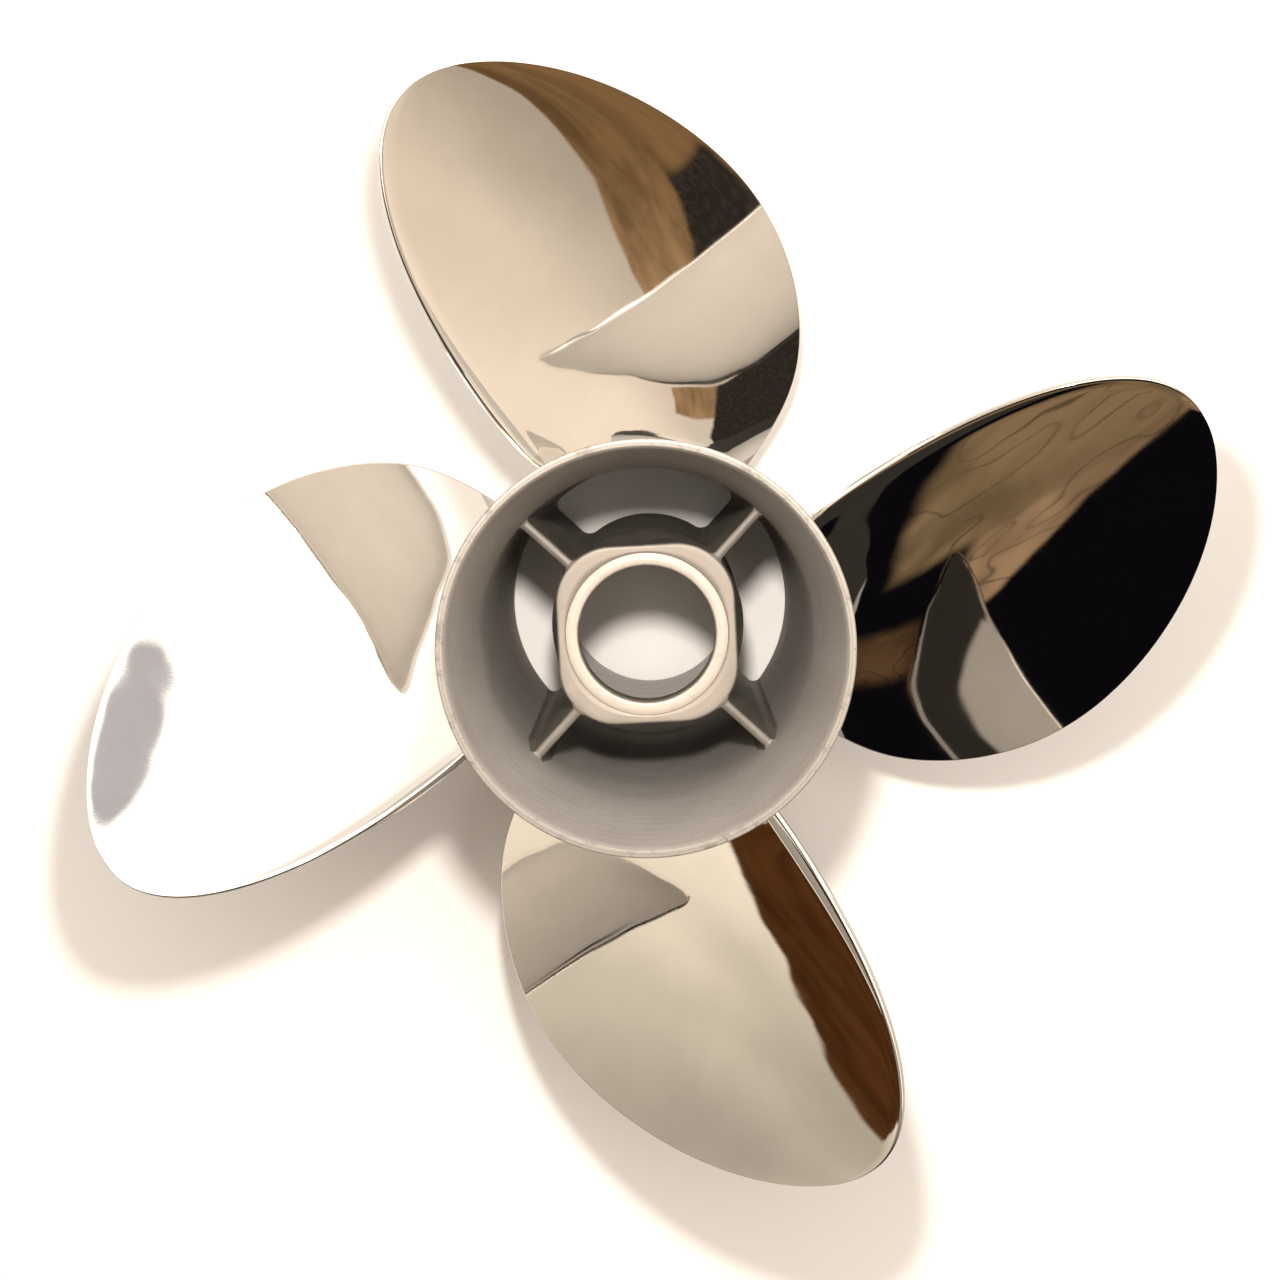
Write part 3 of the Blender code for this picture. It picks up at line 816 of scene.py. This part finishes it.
# Each card is laid over those before it.
CARDS = (
    Card("plain", 20, 170, 75, NOTHING, SKYLIGHT, soft=4, bottom=56, blend=(50, 60)),
    Card("plain", 330, 381, 75, NOTHING, SKYLIGHT, soft=4, bottom=56, blend=(50, 60)),
    Card("plain", 175, 200, 55, NOTHING, NOTHING, soft=8, bottom=20, strength=0.30),
    Card("plain", 300, 390, 60, PINK_LOW, PINK_HIGH, soft=11, strength=0.28),
    Card("plain", 300, 340, 60, NOTHING, NOTHING, soft=11, strength=0.28),
    Card("plain", 30, 80, 56, GREY, GREY, soft=0.5, bottom=42),
    Card("plain", 36.5, 78, 42.9, WINDOW_LOW, WINDOW_HIGH, soft=0.4),
    Card("plain", 77, 114, 57, WINDOW_LOW, WINDOW_HIGH, soft=3),
    Card("grain", 187, 215, 36, BROWN, BROWN, soft=0.4, bottom=1, lean=(0.28, 0)),
    Card("plain", 206, 300, 62, BLACK, BLACK, soft=2),
    Card("folds", 242, 253, 14, LOW_BUFF, DEEP_BUFF, soft=2, bottom=1),
    Card("folds", 264.5, 284, 35, DARK_BUFF, DARK_BUFF, soft=1.5, bottom=5),
    Card("folds", 250.5, 265, 28, BUFF, BUFF, soft=1.2, bottom=16, lean=(-1.7, 0)),
    Card("grain", 300, 332.3, 37.2, OAK_LOW, OAK_HIGH, soft=0.4, bottom=5.5, lean=(0, 0.25), blend=(22, 36)),
    Card("speckle", 311.3, 322.2, 33, STONE, STONE, soft=0.5, lean=(0, 0.3)),
)


def painted(graph, place, pattern, shade):
    """A card's colour, varied as paint, wood grain, folded cloth or speckled stone is."""
    if pattern == "plain":
        share = graph.math("MULTIPLY", graph.noise(place, scale=3.0, detail=2.0), 0.10)
    elif pattern == "grain":
        streaks = graph.noise(graph.stretched(place, (3.0, 3.0, 1.0)), scale=7.0, detail=6.0, roughness=0.6)
        share = graph.ramp(streaks, 0.3, 0.72, high=0.5)
    elif pattern == "folds":
        slow = graph.ramp(graph.noise(place, scale=7.0, detail=2.0, roughness=0.5), 0.35, 0.65, high=0.4)
        warp = graph.noise(graph.stretched(place, (1.0, 1.0, 0.7)), scale=8.0, detail=1.0, roughness=0.4)
        crease = graph.ramp(graph.math("PINGPONG", warp, 0.06), 0.0, 0.012, low=0.6, high=0.0)
        share = graph.math("MAXIMUM", slow, crease)
    else:
        share = graph.ramp(graph.noise(place, scale=160.0, detail=2.0), 0.45, 0.7, low=0.5, high=0.0)
    return graph.mix(share, shade, color(*NOTHING))


def make_surroundings():
    """Soft cards that only the propeller and the floor see. The camera sees a plain pale backdrop."""
    world = bpy.data.worlds.new("studio")
    bpy.context.scene.world = world
    world.use_nodes = True
    graph = Graph(world.node_tree)
    place = graph.add("ShaderNodeTexCoord").outputs["Generated"]
    settings = {"Vector": place, "Angle": math.radians(-SEAM_AZIMUTH)}
    turned_place = graph.add("ShaderNodeVectorRotate", settings, rotation_type="Z_AXIS").outputs[0]
    parts = graph.add("ShaderNodeSeparateXYZ", {0: turned_place}).outputs
    from_seam = graph.math("DEGREES", graph.math("ARCTAN2", parts["Y"], parts["X"]))
    azimuth = graph.math("ADD", from_seam, SEAM_AZIMUTH)
    height = graph.math("DEGREES", graph.math("ARCSINE", parts["Z"]))
    # Lets the cards' edges waver a little.
    wobble = graph.math("SUBTRACT", graph.noise(place, scale=9.0, detail=3.0), 0.5)
    azimuth = graph.math("MULTIPLY_ADD", wobble, 2.5, azimuth)
    wobble = graph.math("SUBTRACT", graph.noise(place, scale=8.0, detail=2.0), 0.5)
    height = graph.math("MULTIPLY_ADD", wobble, 1.0, height)
    drop = graph.math("SUBTRACT", LEAN_ELEVATION, height)

    sky = color(*WALL[0][1])
    for (start, _), (end, shade) in zip(WALL, WALL[1:]):
        sky = graph.mix(graph.ramp(height, start, end), sky, color(*shade))
    for card in CARDS:
        sides = [graph.math("MULTIPLY_ADD", drop, -lean, azimuth) for lean in card.lean]
        share = graph.ramp(sides[0], card.start - card.soft, card.start + card.soft, 0.0, card.strength)
        for value, edge, low, high in (
            (sides[1], card.end, 1.0, 0.0),
            (height, card.top, 1.0, 0.0),
            (height, card.bottom, 0.0, 1.0),
        ):
            side = graph.ramp(value, edge - card.soft, edge + card.soft, low, high)
            share = graph.math("MULTIPLY", share, side)
        shade = graph.mix(graph.ramp(height, *card.blend), color(*card.low), color(*card.high))
        sky = graph.mix(share, sky, painted(graph, place, card.pattern, shade))
    seen = graph.add("ShaderNodeLightPath").outputs["Is Camera Ray"]
    sky = graph.mix(seen, sky, color(*BACKDROP))
    graph.feed(world.node_tree.nodes["Background"].inputs["Color"], sky)


def make_lamp():
    """A small soft lamp above the propeller, on the first blade's side."""
    data = bpy.data.lights.new("lamp", "AREA")
    data.shape = "DISK"
    data.size = LAMP_SIZE
    data.energy = LAMP_ENERGY
    data.color = LAMP_COLOR
    lamp = bpy.data.objects.new("lamp", data)
    lamp.location = LAMP_PLACE
    lamp.rotation_euler = (LAMP_TILT, 0, 0)
    lamp.visible_camera = False
    bpy.context.scene.collection.objects.link(lamp)


def make_camera():
    """Almost straight down the shaft axis from aft, a little to the first blade's side."""
    data = bpy.data.cameras.new("camera")
    data.sensor_width = CAMERA_SENSOR
    data.lens = CAMERA_LENS
    camera = bpy.data.objects.new("camera", data)
    bpy.context.scene.collection.objects.link(camera)
    level = Vector((0, math.sin(CAMERA_TILT), -math.cos(CAMERA_TILT)))
    up = Vector((0, math.cos(CAMERA_TILT), math.sin(CAMERA_TILT)))
    side = Vector((1, 0, 0))
    right = side * math.cos(CAMERA_YAW) - level * math.sin(CAMERA_YAW)
    ahead = level * math.cos(CAMERA_YAW) + side * math.sin(CAMERA_YAW)
    turn = Matrix((right, up, -ahead)).transposed()
    camera.matrix_world = Matrix.Translation(CAMERA_PLACE) @ turn.to_4x4()
    bpy.context.scene.camera = camera


def main():
    polish = polished_steel()
    blasted = blasted_steel()
    bright, dark = color(0.34, 0.312, 0.275), color(0.18, 0.16, 0.137)
    rim = machined_steel("rim_stainless", bright, dark, ring_scale=500.0, rough=0.5)
    bright, dark = color(0.45, 0.395, 0.34), color(0.355, 0.31, 0.265)
    seat = machined_steel("turned_stainless", bright, dark, ring_scale=900.0, rough=0.45)
    bright, dark = color(0.50, 0.46, 0.415), color(0.39, 0.355, 0.315)
    bored = machined_steel("bored_stainless", bright, dark, ring_scale=700.0, rough=0.24)
    cast = cast_steel("cast_stainless", color(0.20, 0.18, 0.158), color(0.13, 0.117, 0.10), rough=0.5)
    face = cast_steel("faced_cast_stainless", color(0.295, 0.258, 0.22), color(0.23, 0.20, 0.168), rough=0.5)
    make_barrel(polish, blasted, rim)
    make_hub(cast, face, bored)
    make_ring(seat)
    for i in range(RIB_COUNT):
        make_rib(i + 1, RIB_ANGLE + i * QUARTER, cast)
    for i in range(BLADE_COUNT):
        make_blade(i + 1, i * QUARTER, polish)
    make_floor()
    make_surroundings()
    make_lamp()
    make_camera()
    bpy.context.scene.view_settings.view_transform = "Standard"


main()
